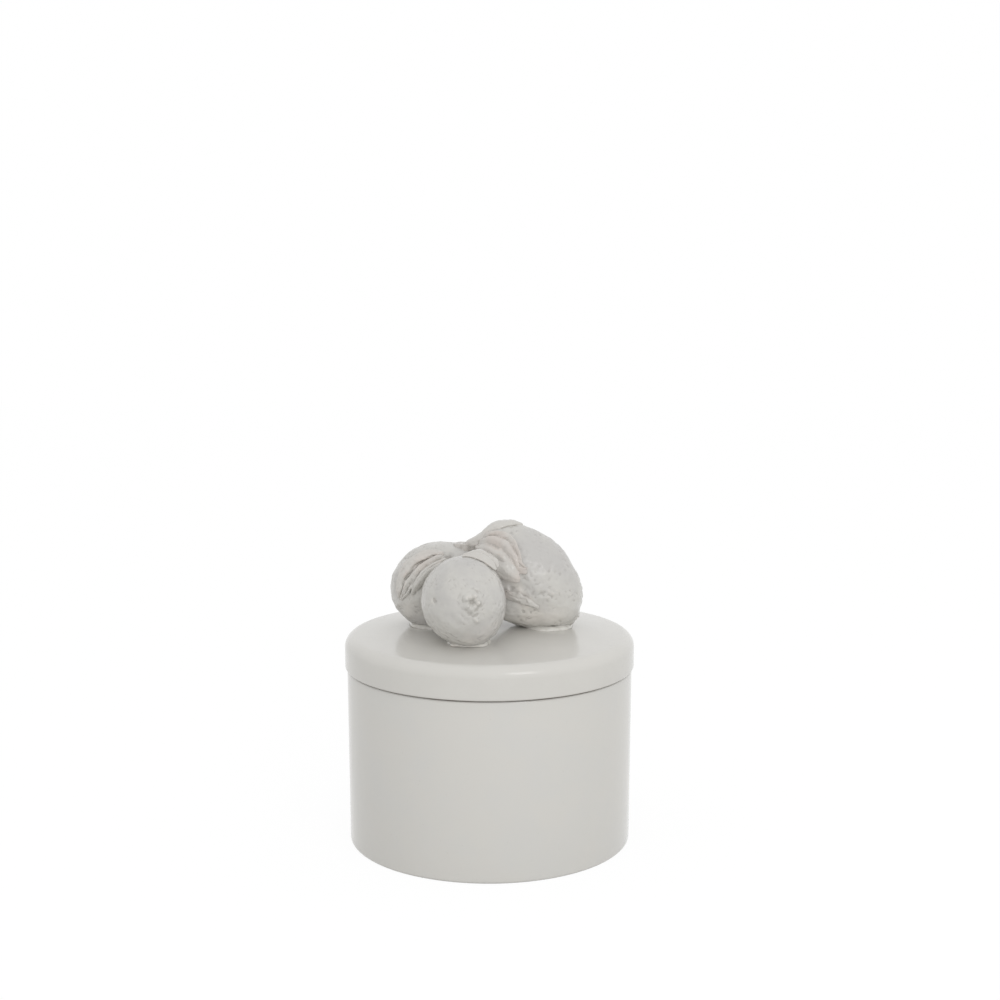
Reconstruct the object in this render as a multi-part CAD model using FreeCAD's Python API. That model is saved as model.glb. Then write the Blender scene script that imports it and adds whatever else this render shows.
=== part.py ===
import FreeCAD, Part
import math
import os

# Round lidded box of glazed ceramic. The lid lifts off by a cluster of three lemons with their leaves.
# Lengths are in millimetres and angles in degrees. +Z is up, and -Y is the front of the box.
# The origin is the centre of the foot, on the surface that the box stands on.

# Jar
JAR_RADIUS = 60.0
JAR_DRAFT = 0.5
JAR_HEIGHT = 74.5
JAR_WALL = 4.5
JAR_FLOOR = 5.0
JAR_HEEL_ROUND = 1.2
JAR_RIM_ROUND = 0.9
JAR_CORNER_ROUND = 5.0
FOOT_RING_WIDTH = 5.0
FOOT_RECESS = 1.2
FOOT_ROUND = 0.5

# Lid
LID_OVERHANG = 0.9
LID_EDGE_HEIGHT = 13.5
LID_DOME_RISE = 3.2
LID_WALL = 5.0
LID_SHOULDER_ROUND = 4.0
LID_LIP_ROUND = 0.9
LID_CORNER_ROUND = 3.0
FLANGE_CLEARANCE = 1.2
FLANGE_WALL = 4.0
FLANGE_DEPTH = 7.0
FLANGE_ROUND = 1.2

# Lemons. Each lies with its foot sunk a little into the lid. Its turn is the way that its blossom tip
# points, from +X towards +Y, and its tilt is how far the tip rises above level.
LEMON_WALL = 4.5
VENT_RADIUS = 1.5
LEFT_LEMON_WIDTH = 36.8
LEFT_LEMON_LENGTH = 43.5
LEFT_LEMON_X = -21.2
LEFT_LEMON_Y = 5.5
LEFT_LEMON_SINK = 2.0
LEFT_LEMON_TURN = 153.0
LEFT_LEMON_TILT = -16.0
RIGHT_LEMON_WIDTH = 36.5
RIGHT_LEMON_LENGTH = 53.0
RIGHT_LEMON_SINK = 2.0
RIGHT_LEMON_TURN = -5.0
RIGHT_LEMON_TILT = -42.0
FRONT_LEMON_WIDTH = 35.0
FRONT_LEMON_LENGTH = 43.0
FRONT_LEMON_SINK = 1.2
FRONT_LEMON_TURN = -76.0
FRONT_LEMON_TILT = 10.0
# The lemons lie against each other. Two middles are half of both widths apart, plus a gap or less a press.
# The turn is that of the line from the left lemon's middle to the right one's.
LEFT_TO_RIGHT_TURN = -3.1
LEFT_TO_RIGHT_GAP = 0.6
RIGHT_TO_FRONT_GAP = 4.3
LEFT_TO_FRONT_PRESS = 2.2
# Half outline of a lemon from stem end to blossom tip: shares of its length and of its half width.
LEMON_OUTLINE_SHARES = (
    (-0.50, 0.08),
    (-0.47, 0.32),
    (-0.36, 0.67),
    (-0.18, 0.93),
    (0.02, 1.0),
    (0.22, 0.91),
    (0.36, 0.67),
    (0.44, 0.40),
    (0.48, 0.21),
    (0.52, 0.12),
)

# Slip, which joins each lemon's foot to the lid
SLIP_WIDTH = 3.2
SLIP_HEIGHT = 1.6

# Stalk, where the lemons and leaves meet. It stands on the line between the left lemon's middle and the
# right one's, moved forward, and its top rises over the left lemon's.
STALK_RADIUS = 3.7
STALK_TOP_RADIUS = 3.2
STALK_PLACE_SHARE = 0.25
STALK_FORWARD = 2.5
STALK_RISE = 0.4
STALK_LENGTH = 15.5
STALK_ROUND = 1.4

# Leaves. Each lies over one lemon and fills the space down to its skin. Its base and tip are the turn and
# tilt at which they are seen from the lemon's middle. Its rise is how much thicker it is halfway along.
LEAF_THICKNESS = 1.6
LEAF_EDGE = 0.5
LEAF_SINK = 1.5
LEAF_BASE_SHARE = 0.22
LEAF_TIP_SHARE = 0.08
LEAF_WIDEST_SHARE = 0.42
LEAF_SECTIONS = 7
CREST_LEAF_WIDTH = 11.5
CREST_LEAF_RISE = 0.5
BLUSH_LEAF_WIDTH = 15.0
BLUSH_LEAF_RISE = 0.6
CHEEK_LEAF_WIDTH = 7.0
CHEEK_LEAF_RISE = 1.6
LOW_LEAF_WIDTH = 5.0
LOW_LEAF_RISE = 0.5
FRONT_LEAF_WIDTH = 9.0
FRONT_LEAF_RISE = 1.4
LEFT_LEAF_WIDTH = 12.0
LEFT_LEAF_RISE = 0.4
INNER_LEAF_WIDTH = 6.5
INNER_LEAF_RISE = 0.8

OVERRUN = 1.0
SAME = 0.01
HALVINGS = 40

# How far apart the lemons' middles are, and the turn of the line from the left one's to the front one's
left_to_right = (LEFT_LEMON_WIDTH + RIGHT_LEMON_WIDTH) / 2 + LEFT_TO_RIGHT_GAP
right_to_front = (RIGHT_LEMON_WIDTH + FRONT_LEMON_WIDTH) / 2 + RIGHT_TO_FRONT_GAP
left_to_front = (LEFT_LEMON_WIDTH + FRONT_LEMON_WIDTH) / 2 - LEFT_TO_FRONT_PRESS
left_corner = math.degrees(math.acos(
    (left_to_front ** 2 + left_to_right ** 2 - right_to_front ** 2) / (2 * left_to_front * left_to_right)
))
left_to_front_turn = LEFT_TO_RIGHT_TURN - left_corner

LEMONS = {
    "lemon_right": {
        "width": RIGHT_LEMON_WIDTH,
        "length": RIGHT_LEMON_LENGTH,
        "x": LEFT_LEMON_X + left_to_right * math.cos(math.radians(LEFT_TO_RIGHT_TURN)),
        "y": LEFT_LEMON_Y + left_to_right * math.sin(math.radians(LEFT_TO_RIGHT_TURN)),
        "sink": RIGHT_LEMON_SINK,
        "turn": RIGHT_LEMON_TURN,
        "tilt": RIGHT_LEMON_TILT,
    },
    "lemon_front": {
        "width": FRONT_LEMON_WIDTH,
        "length": FRONT_LEMON_LENGTH,
        "x": LEFT_LEMON_X + left_to_front * math.cos(math.radians(left_to_front_turn)),
        "y": LEFT_LEMON_Y + left_to_front * math.sin(math.radians(left_to_front_turn)),
        "sink": FRONT_LEMON_SINK,
        "turn": FRONT_LEMON_TURN,
        "tilt": FRONT_LEMON_TILT,
    },
    "lemon_left": {
        "width": LEFT_LEMON_WIDTH,
        "length": LEFT_LEMON_LENGTH,
        "x": LEFT_LEMON_X,
        "y": LEFT_LEMON_Y,
        "sink": LEFT_LEMON_SINK,
        "turn": LEFT_LEMON_TURN,
        "tilt": LEFT_LEMON_TILT,
    },
}

# Each row: lemon, base (turn, tilt), tip (turn, tilt), width, rise
LEAVES = {
    "leaf_crest": ("lemon_right", (180, 30), (140, 82), CREST_LEAF_WIDTH, CREST_LEAF_RISE),
    "leaf_cheek": ("lemon_right", (-148, 20), (-101, 6), CHEEK_LEAF_WIDTH, CHEEK_LEAF_RISE),
    "leaf_blush": ("lemon_right", (-175, 28), (-98, 18), BLUSH_LEAF_WIDTH, BLUSH_LEAF_RISE),
    "leaf_low": ("lemon_right", (-130, -5), (-79, -26), LOW_LEAF_WIDTH, LOW_LEAF_RISE),
    "leaf_front": ("lemon_front", (0, 40), (-110, 87), FRONT_LEAF_WIDTH, FRONT_LEAF_RISE),
    "leaf_left": ("lemon_left", (-70, 62), (-143, -16), LEFT_LEAF_WIDTH, LEFT_LEAF_RISE),
    "leaf_inner": (
        "lemon_left",
        (left_to_front_turn + 4, 45),
        (left_to_front_turn - 50, -8),
        INNER_LEAF_WIDTH,
        INNER_LEAF_RISE,
    ),
}

jar_foot_radius = JAR_RADIUS - JAR_DRAFT
mouth_radius = JAR_RADIUS - JAR_WALL
lid_radius = JAR_RADIUS + LID_OVERHANG
lid_shoulder_z = JAR_HEIGHT + LID_EDGE_HEIGHT
lid_crown_z = lid_shoulder_z + LID_DOME_RISE
flange_radius = mouth_radius - FLANGE_CLEARANCE
flange_bore_radius = flange_radius - FLANGE_WALL
dome_radius = (lid_radius ** 2 + LID_DOME_RISE ** 2) / (2 * LID_DOME_RISE)
dome_centre_z = lid_crown_z - dome_radius
UP = FreeCAD.Vector(0, 0, 1)
ORIGIN = FreeCAD.Vector(0, 0, 0)


def at(radius, z):
    """The point of a half outline at this radius and height."""
    return FreeCAD.Vector(radius, 0, z)


def direction(turn, tilt):
    """The unit vector with this turn and tilt."""
    a = math.radians(turn)
    e = math.radians(tilt)
    return FreeCAD.Vector(math.cos(a) * math.cos(e), math.sin(a) * math.cos(e), math.sin(e))


def lines(*points):
    """Straight edges from each point to the next."""
    return [Part.LineSegment(a, b).toShape() for a, b in zip(points, points[1:])]


def turned(edges):
    """The solid of revolution of a closed half outline."""
    return Part.Face(Part.Wire(edges)).revolve(ORIGIN, UP, 360)


def arc(centre, radius, start, end):
    """The arc of a half outline about this centre, between two angles in radians above level."""
    points = [centre + at(math.cos(a), math.sin(a)) * radius for a in (start, (start + end) / 2, end)]
    return Part.Arc(*points).toShape()


def rounded(solid, size, *places):
    """The solid with its circular edges at these (radius, height) places filleted."""
    edges = []
    for edge in solid.Edges:
        if not edge.Degenerated and isinstance(edge.Curve, Part.Circle):
            for radius, z in places:
                if abs(edge.Curve.Radius - radius) < SAME and abs(edge.Curve.Center.z - z) < SAME:
                    edges.append(edge)
    return solid.makeFillet(size, edges)


def cut_by(solid, others):
    """The solid with every one of the others cut out of it."""
    for other in others:
        solid = solid.cut(other)
    return solid


# The jar is a straight cup that stands on a foot ring.

def make_jar():
    ring_bore = jar_foot_radius - FOOT_RING_WIDTH
    floor_radius = mouth_radius - JAR_DRAFT
    cup = turned(lines(
        at(0, FOOT_RECESS),
        at(ring_bore, FOOT_RECESS),
        at(ring_bore, 0),
        at(jar_foot_radius, 0),
        at(JAR_RADIUS, JAR_HEIGHT),
        at(mouth_radius, JAR_HEIGHT),
        at(floor_radius, JAR_FLOOR),
        at(0, JAR_FLOOR),
        at(0, FOOT_RECESS),
    ))
    cup = rounded(cup, JAR_HEEL_ROUND, (jar_foot_radius, 0))
    cup = rounded(cup, FOOT_ROUND, (ring_bore, 0), (ring_bore, FOOT_RECESS))
    cup = rounded(cup, JAR_RIM_ROUND, (JAR_RADIUS, JAR_HEIGHT), (mouth_radius, JAR_HEIGHT))
    return rounded(cup, JAR_CORNER_ROUND, (floor_radius, JAR_FLOOR))


# The lid is a shallow dome with a deep edge. A flange under it drops into the jar's mouth.

def domed_disc(radius, corner, foot_z, sink):
    """A disc that stands at foot_z and ends in the crown's dome, less sink, with a rounded shoulder."""
    dome = dome_radius - sink
    tilt = math.acos((radius - corner) / (dome - corner))
    corner_z = dome_centre_z + (dome - corner) * math.sin(tilt)
    outline = lines(at(0, dome_centre_z + dome), at(0, foot_z), at(radius, foot_z), at(radius, corner_z))
    outline.append(arc(at(radius - corner, corner_z), corner, 0, tilt))
    outline.append(arc(at(0, dome_centre_z), dome, tilt, math.pi / 2))
    return turned(outline)


def dome_z(x, y):
    """The height of the lid's crown over this place."""
    return dome_centre_z + math.sqrt(dome_radius ** 2 - x ** 2 - y ** 2)


def make_lid_blank():
    """The lid's outer shape with nothing hollowed out."""
    blank = domed_disc(lid_radius, LID_SHOULDER_ROUND, JAR_HEIGHT, 0)
    return rounded(blank, LID_LIP_ROUND, (lid_radius, JAR_HEIGHT))


def make_lid(blank):
    hollow = domed_disc(flange_bore_radius, LID_CORNER_ROUND, JAR_HEIGHT - OVERRUN, LID_WALL)
    return cut_by(blank, [hollow] + [make_vent(lemon) for lemon in LEMONS.values()])


def make_flange():
    foot_z = JAR_HEIGHT - FLANGE_DEPTH
    flange = turned(lines(
        at(flange_bore_radius, foot_z),
        at(flange_radius, foot_z),
        at(flange_radius, JAR_HEIGHT),
        at(flange_bore_radius, JAR_HEIGHT),
        at(flange_bore_radius, foot_z),
    ))
    return rounded(flange, FLANGE_ROUND, (flange_bore_radius, foot_z), (flange_radius, foot_z))


# Lemons

def half_height(lemon):
    """How far a tilted lemon's lowest point lies below its middle."""
    tilt = math.radians(lemon["tilt"])
    return math.hypot(lemon["length"] / 2 * math.sin(tilt), lemon["width"] / 2 * math.cos(tilt))


def lemon_middle(lemon):
    """The middle of a lemon that is sunk into the lid by its foot."""
    x = lemon["x"]
    y = lemon["y"]
    return FreeCAD.Vector(x, y, dome_z(x, y) + half_height(lemon) - lemon["sink"])


def lemon_skin(lemon, shrink=0):
    """Half the outline of a lemon that stands on its stem end about the origin, taken in by shrink."""
    length = lemon["length"] - 2 * shrink
    radius = lemon["width"] / 2 - shrink
    skin = Part.BSplineCurve()
    skin.interpolate([at(v * radius, u * length) for u, v in LEMON_OUTLINE_SHARES])
    return skin


def lemon_body(lemon, shrink=0):
    """A lemon's solid of revolution, taken in by shrink all over."""
    skin = lemon_skin(lemon, shrink)
    stem_end = skin.StartPoint
    tip = skin.EndPoint
    body = turned([skin.toShape()] + lines(tip, at(0, tip.z), at(0, stem_end.z), stem_end))
    seam_down = FreeCAD.Rotation(-UP, ORIGIN, direction(lemon["turn"], lemon["tilt"]), "ZXY")
    body.Placement = FreeCAD.Placement(lemon_middle(lemon), seam_down)
    return body


def make_vent(lemon):
    """The hole that lets air out of a hollow lemon and through the lid as the clay is fired."""
    foot = FreeCAD.Vector(lemon["x"], lemon["y"], JAR_HEIGHT)
    return Part.makeCylinder(VENT_RADIUS, lemon_middle(lemon).z - foot.z, foot, UP)


def make_lemon(lemon, neighbours, blank):
    return cut_by(lemon_body(lemon), [blank, lemon_body(lemon, LEMON_WALL), make_vent(lemon)] + neighbours)


def make_slip(lemon, bodies, blank):
    """The ring of slip that fills the wedge between a lemon's foot and the lid."""
    half_length = lemon["length"] / 2
    half_width = lemon["width"] / 2
    tall = half_height(lemon)
    flat_share = math.sqrt(1 - (1 - lemon["sink"] / tall) ** 2)
    slope = math.sin(2 * math.radians(lemon["tilt"])) / 2
    lean = direction(lemon["turn"], 0) * ((half_width ** 2 - half_length ** 2) * slope / tall)
    foot = lemon_middle(lemon) + lean
    foot.z = dome_z(foot.x, foot.y) - OVERRUN
    radius = half_width * math.sqrt(half_length / tall) * flat_share + SLIP_WIDTH
    return cut_by(Part.makeCylinder(radius, OVERRUN + SLIP_HEIGHT, foot, UP), bodies + [blank])


def make_stalk(bodies):
    lemon = LEMONS["lemon_left"]
    foot = lemon_middle(lemon)
    foot += direction(LEFT_TO_RIGHT_TURN, 0) * (left_to_right * STALK_PLACE_SHARE)
    foot.y -= STALK_FORWARD
    foot.z += half_height(lemon) + STALK_RISE - STALK_LENGTH
    stalk = Part.makeCone(STALK_RADIUS, STALK_TOP_RADIUS, STALK_LENGTH, foot, UP)
    stalk = rounded(stalk, STALK_ROUND, (STALK_TOP_RADIUS, foot.z + STALK_LENGTH))
    return cut_by(stalk, bodies)


# Leaves

def skin_point(lemon, way, rise):
    """The point that lies this way from a lemon's middle, this far off its skin, found by halving."""
    along = way.dot(direction(lemon["turn"], lemon["tilt"]))
    skin = lemon_skin(lemon)
    low = skin.FirstParameter
    high = skin.LastParameter
    for step in range(HALVINGS):
        point = skin.value((low + high) / 2)
        if point.z < along * point.Length:
            low = (low + high) / 2
        else:
            high = (low + high) / 2
    return lemon_middle(lemon) + way * (point.Length + rise)


def leaf_section(lemon, base, tip, width, rise, share):
    """A leaf's closed outline across its midrib, at this share of its length."""
    pole = base.cross(tip).normalize()
    middle = FreeCAD.Rotation(pole, math.degrees(base.getAngle(tip) * share)).multVec(base)
    forward = pole.cross(middle)
    ends = LEAF_BASE_SHARE * (1 - share) + LEAF_TIP_SHARE * share
    swell = math.sin(math.pi * share ** (math.log(1 / 2) / math.log(LEAF_WIDEST_SHARE)))
    half = width / 2 * (ends + (1 - ends) * swell)
    swing = math.degrees(half / (lemon["width"] / 2))
    left = FreeCAD.Rotation(forward, swing).multVec(middle)
    right = FreeCAD.Rotation(forward, -swing).multVec(middle)
    crown = LEAF_THICKNESS + rise * math.sin(math.pi * share)
    under = [skin_point(lemon, way, -LEAF_SINK) for way in (left, middle, right)]
    over = [
        skin_point(lemon, right, LEAF_EDGE),
        skin_point(lemon, middle, crown),
        skin_point(lemon, left, LEAF_EDGE),
    ]
    return Part.Wire(
        [Part.Arc(*under).toShape()]
        + lines(under[-1], over[0])
        + [Part.Arc(*over).toShape()]
        + lines(over[-1], under[0])
    )


def make_leaf(row, others):
    name, base, tip, width, rise = row
    sections = []
    for step in range(LEAF_SECTIONS):
        share = step / (LEAF_SECTIONS - 1)
        sections.append(leaf_section(LEMONS[name], direction(*base), direction(*tip), width, rise, share))
    return cut_by(Part.makeLoft(sections, True), others)


def save(name, shape):
    shape.exportStep("parts/" + name + ".step")
    print(name, "solids", len(shape.Solids), "volume", round(shape.Volume, 1), "valid", shape.isValid())


os.makedirs("parts", exist_ok=True)
blank = make_lid_blank()
save("jar_body", make_jar())
save("lid_plate", make_lid(blank))
save("lid_flange", make_flange())

bodies = []
for name, lemon in LEMONS.items():
    save(name, make_lemon(lemon, bodies, blank))
    bodies.append(lemon_body(lemon))
for name, lemon in LEMONS.items():
    save(name.replace("lemon", "slip"), make_slip(lemon, bodies, blank))

stalk = make_stalk(bodies)
save("stalk", stalk)
leaves = []
for name, row in LEAVES.items():
    leaf = make_leaf(row, bodies + [blank, stalk] + leaves)
    leaves.append(leaf)
    save(name, leaf)
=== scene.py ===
# %% [markdown]
# # A round lidded box with lemons on its lid
#
# This lesson dresses a small ceramic box in Blender. The box is a straight cup with a shallow domed lid, and
# three lemons with their leaves lie on the lid as its handle. All of it is pale grey glazed clay.
# The construction is already there as a fixed frame of plain solids. Each piece here is modelled around its
# solid, in the same place, and rides on the same body. Blender's lengths are in metres, so most sizes here
# are written in millimetres, times MM.

# %% Load the frame
import math

import bmesh
import bpy
import numpy as np
from mathutils import Matrix, Vector
from mathutils import noise as patchwork


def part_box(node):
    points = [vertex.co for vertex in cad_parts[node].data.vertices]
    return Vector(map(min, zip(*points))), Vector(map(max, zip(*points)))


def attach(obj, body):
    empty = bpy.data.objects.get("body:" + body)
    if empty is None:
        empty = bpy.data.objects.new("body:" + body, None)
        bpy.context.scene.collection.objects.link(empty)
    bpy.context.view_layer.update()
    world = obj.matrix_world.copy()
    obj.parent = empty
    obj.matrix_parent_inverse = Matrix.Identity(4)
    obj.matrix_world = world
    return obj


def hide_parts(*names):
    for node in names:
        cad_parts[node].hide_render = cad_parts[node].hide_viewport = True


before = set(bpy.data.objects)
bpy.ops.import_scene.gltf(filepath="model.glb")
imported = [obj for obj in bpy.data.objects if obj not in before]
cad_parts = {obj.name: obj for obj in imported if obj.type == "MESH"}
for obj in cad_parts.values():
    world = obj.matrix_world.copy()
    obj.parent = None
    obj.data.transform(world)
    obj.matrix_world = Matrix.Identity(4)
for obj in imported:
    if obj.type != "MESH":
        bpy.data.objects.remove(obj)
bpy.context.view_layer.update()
MM = 0.001

# %% [markdown]
# ## Camera
#
# A photograph's camera is found by fitting: here from the ellipses of the jar's foot and the lid's seam.
# It stands 0.7 m in front of the box and looks down on it a little. The lens is a long one, so the box's
# sides look almost parallel. The box is lower than the middle of the picture, so the camera aims over it.

# %% Place the camera
CAMERA_DISTANCE = 720 * MM
CAMERA_ELEVATION = math.radians(16)
CAMERA_TARGET = Vector((0, 0, 50 * MM))
CAMERA_AIM_UP = math.radians(7.48)
CAMERA_AIM_RIGHT = math.radians(0.366)
CAMERA_CLIP_START = 10 * MM
LENS_MM = 60.34

camera = bpy.data.objects.new("camera", bpy.data.cameras.new("camera"))
bpy.context.scene.collection.objects.link(camera)
bpy.context.scene.camera = camera
camera.data.lens = LENS_MM
camera.data.clip_start = CAMERA_CLIP_START
way_back = Vector((0, -math.cos(CAMERA_ELEVATION), math.sin(CAMERA_ELEVATION)))
camera.location = CAMERA_TARGET + way_back * CAMERA_DISTANCE
camera.rotation_euler = (math.pi / 2 - CAMERA_ELEVATION + CAMERA_AIM_UP, 0, -CAMERA_AIM_RIGHT)
bpy.context.scene.view_settings.view_transform = "Standard"
print("camera at", [round(v / MM) for v in camera.location], "mm")

# %% [markdown]
# ## Sky
#
# White glossy clay is lit by large soft sources, because it mirrors whatever stands around it. The sky here
# is an even white, and a clean one for the camera and for what the glaze mirrors. The light that falls on
# the clay is set apart from that, and is a little weaker, so that pale clay doesn't wash out.

# %% Build the sky
SKY_LIGHT = 0.81
WHITE = (1, 1, 1, 1)


def calculate(tree, operation, first, second, clamp=False):
    """A Math node, fed by sockets or by plain numbers."""
    node = tree.nodes.new("ShaderNodeMath")
    node.operation = operation
    node.use_clamp = clamp
    for socket, value in zip(node.inputs, (first, second)):
        if isinstance(value, bpy.types.NodeSocket):
            tree.links.new(value, socket)
        else:
            socket.default_value = value
    return node.outputs[0]


def seen_directly(tree):
    """1 for what the camera, a mirror or glass sees, and 0 for light that falls on things."""
    path = tree.nodes.new("ShaderNodeLightPath").outputs
    seen = calculate(tree, "MAXIMUM", path["Is Camera Ray"], path["Is Glossy Ray"])
    return calculate(tree, "MAXIMUM", seen, path["Is Transmission Ray"])


def light_and_look(tree, light, look, target):
    """Sends one shader to the target where light falls on things, and the other where it is seen."""
    mix = tree.nodes.new("ShaderNodeMixShader")
    tree.links.new(seen_directly(tree), mix.inputs["Fac"])
    tree.links.new(light.outputs[0], mix.inputs[1])
    tree.links.new(look.outputs[0], mix.inputs[2])
    tree.links.new(mix.outputs[0], target)


def build_sky():
    """A world that looks white and lights the box a little less."""
    world = bpy.data.worlds.new("white_sky")
    world.use_nodes = True
    bpy.context.scene.world = world
    nodes = world.node_tree.nodes
    light = nodes.new("ShaderNodeBackground")
    for background, strength in ((nodes["Background"], 1), (light, SKY_LIGHT)):
        background.inputs["Color"].default_value = WHITE
        background.inputs["Strength"].default_value = strength
    light_and_look(world.node_tree, light, nodes["Background"], nodes["World Output"].inputs["Surface"])


build_sky()
print("sky lights the clay at", SKY_LIGHT)

# %% [markdown]
# ## Floor
#
# The floor is a wide sheet. What the camera sees, and the glaze mirrors, is a glow just short of white. A
# trace of matt card makes up the rest where light falls, so the box still casts a faint shadow. The soft
# light that the floor throws up at the clay comes off plain pale card instead.

# %% Lay the floor
FLOOR_SIZE = 4.0
FLOOR_BOUNCE = (0.63, 0.63, 0.62, 1)
FLOOR_WHITE = 0.93
FLOOR_SHADOW = 0.085


def build_floor():
    """A sheet that looks white with a faint shadow, and lights the clay as pale card does."""
    bpy.ops.mesh.primitive_plane_add(size=FLOOR_SIZE)
    floor = bpy.context.object
    floor.name = "floor"
    material = bpy.data.materials.new("white_floor")
    material.use_nodes = True
    floor.data.materials.append(material)
    nodes, links = material.node_tree.nodes, material.node_tree.links
    nodes.remove(nodes["Principled BSDF"])
    bounce = nodes.new("ShaderNodeBsdfDiffuse")
    bounce.inputs["Color"].default_value = FLOOR_BOUNCE
    shadow = nodes.new("ShaderNodeBsdfDiffuse")
    shadow.inputs["Color"].default_value = (FLOOR_SHADOW, FLOOR_SHADOW, FLOOR_SHADOW, 1)
    white = nodes.new("ShaderNodeEmission")
    white.inputs["Strength"].default_value = FLOOR_WHITE
    both = nodes.new("ShaderNodeAddShader")
    links.new(shadow.outputs[0], both.inputs[0])
    links.new(white.outputs[0], both.inputs[1])
    light_and_look(material.node_tree, bounce, both, nodes["Material Output"].inputs["Surface"])


build_floor()
print("floor", FLOOR_SIZE, "m wide")

# %% [markdown]
# ## Lamps
#
# A small soft box in front on the right gives the lid's shoulder its one clear highlight. It hangs high: low
# down, the flat lid would mirror it at a camera behind the box, and the lid's far edge would be lost in
# white. A wider lamp fills the low front of the fruit with light, and the glaze doesn't mirror that one.

# %% Hang the lamps
SOFT_BOX = {"turn": -63, "tilt": 36, "distance": 0.9, "size": 0.26, "power": 0.65}
FRONT_FILL = {"turn": -78, "tilt": 9, "distance": 1.5, "size": 0.5, "power": 3.5}


def direction(turn, tilt):
    """The unit vector that points this turn from +X towards +Y, and this tilt above level."""
    return Vector((math.cos(turn) * math.cos(tilt), math.sin(turn) * math.cos(tilt), math.sin(tilt)))


def hang_lamp(name, turn, tilt, distance, size, power):
    """A square soft lamp that looks at the box from this turn and tilt, in degrees."""
    lamp = bpy.data.objects.new(name, bpy.data.lights.new(name, "AREA"))
    bpy.context.scene.collection.objects.link(lamp)
    lamp.data.size = size
    lamp.data.energy = power
    way = direction(math.radians(turn), math.radians(tilt))
    lamp.location = CAMERA_TARGET + way * distance
    lamp.rotation_euler = way.to_track_quat("Z", "Y").to_euler()
    print(name, "hangs", round(lamp.location.z / MM), "mm high")
    return lamp


hang_lamp("soft_box", **SOFT_BOX)
front_fill = hang_lamp("front_fill", **FRONT_FILL)
front_fill.visible_glossy = False

# %% [markdown]
# ## Glaze
#
# Glaze is a thin skin of glass. Where it gathers in a hollow it is deep and grey, and where it runs thin
# over an edge the warm clay shows through. A node group holds that effect for every piece, and it paints
# light and shade as well: the deep colour is painted shade in hollows besides pooled glaze, and on the
# lemons the thin colour is lighter, a painted highlight on crests. It takes a colour for each case, and
# three measures that are stored on the mesh: `relief` says how far the surface stands out, a warmth mark
# where the clay shows through, which on the lemons also paints their lower peel lighter, and `bare` where
# the glaze was wiped off, which leaves clay dark enough to paint the shade in the lid's seam too.

# %% Helpers that wire a node group
def new_group(name, inputs, outputs):
    """An empty group with these sockets, then what comes into it and what goes out."""
    group = bpy.data.node_groups.new(name, "ShaderNodeTree")
    for label, value in inputs.items():
        kind = "NodeSocketColor" if isinstance(value, tuple) else "NodeSocketFloat"
        socket = group.interface.new_socket(name=label, in_out="INPUT", socket_type=kind)
        socket.default_value = value
    for label, kind in outputs.items():
        group.interface.new_socket(name=label, in_out="OUTPUT", socket_type=kind)
    return group, group.nodes.new("NodeGroupInput").outputs, group.nodes.new("NodeGroupOutput").inputs


def ramp_between(group, value, low, high):
    """A smooth step from 0 at low to 1 at high."""
    step = group.nodes.new("ShaderNodeMapRange")
    step.interpolation_type = "SMOOTHSTEP"
    step.inputs["From Min"].default_value = low
    step.inputs["From Max"].default_value = high
    group.links.new(value, step.inputs["Value"])
    return step.outputs["Result"]


def blend_colours(group, share, first, second):
    """The first colour where the share is 0, and the second where it is 1."""
    mix = group.nodes.new("ShaderNodeMix")
    mix.data_type = "RGBA"
    group.links.new(share, mix.inputs["Factor"])
    group.links.new(first, mix.inputs["A"])
    group.links.new(second, mix.inputs["B"])
    return mix.outputs["Result"]


def times(group, first, second):
    return calculate(group, "MULTIPLY", first, second, clamp=True)


def noise(group, place, size, detail, roughness=0.5):
    """Uneven tone whose patches are about this size."""
    texture = group.nodes.new("ShaderNodeTexNoise")
    texture.inputs["Scale"].default_value = 1 / size
    texture.inputs["Detail"].default_value = detail
    texture.inputs["Roughness"].default_value = roughness
    group.links.new(place, texture.inputs["Vector"])
    return texture.outputs["Fac"]


# %% Build the group for glaze that pools, and that paints shade and highlights
# The bare clay is darker than plain fired clay, so that it also paints the shade in the seam between lid and
# jar.
CLAY_AND_SEAM_SHADE = (0.2, 0.175, 0.15, 1)
CLAY_ROUGHNESS = 0.85
WORN_AND_LIT_PATCH = {"size": 5 * MM, "detail": 3}
WORN_AND_LIT_PATCH_STEP = (0.35, 0.7)
CREST_STEP = (0.15, 1.0)
HOLLOW_SHADE_STEP = (0.1, 1.0)
WARMTH_AND_LIGHT_STEP = (0.0, 0.8)


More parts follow.
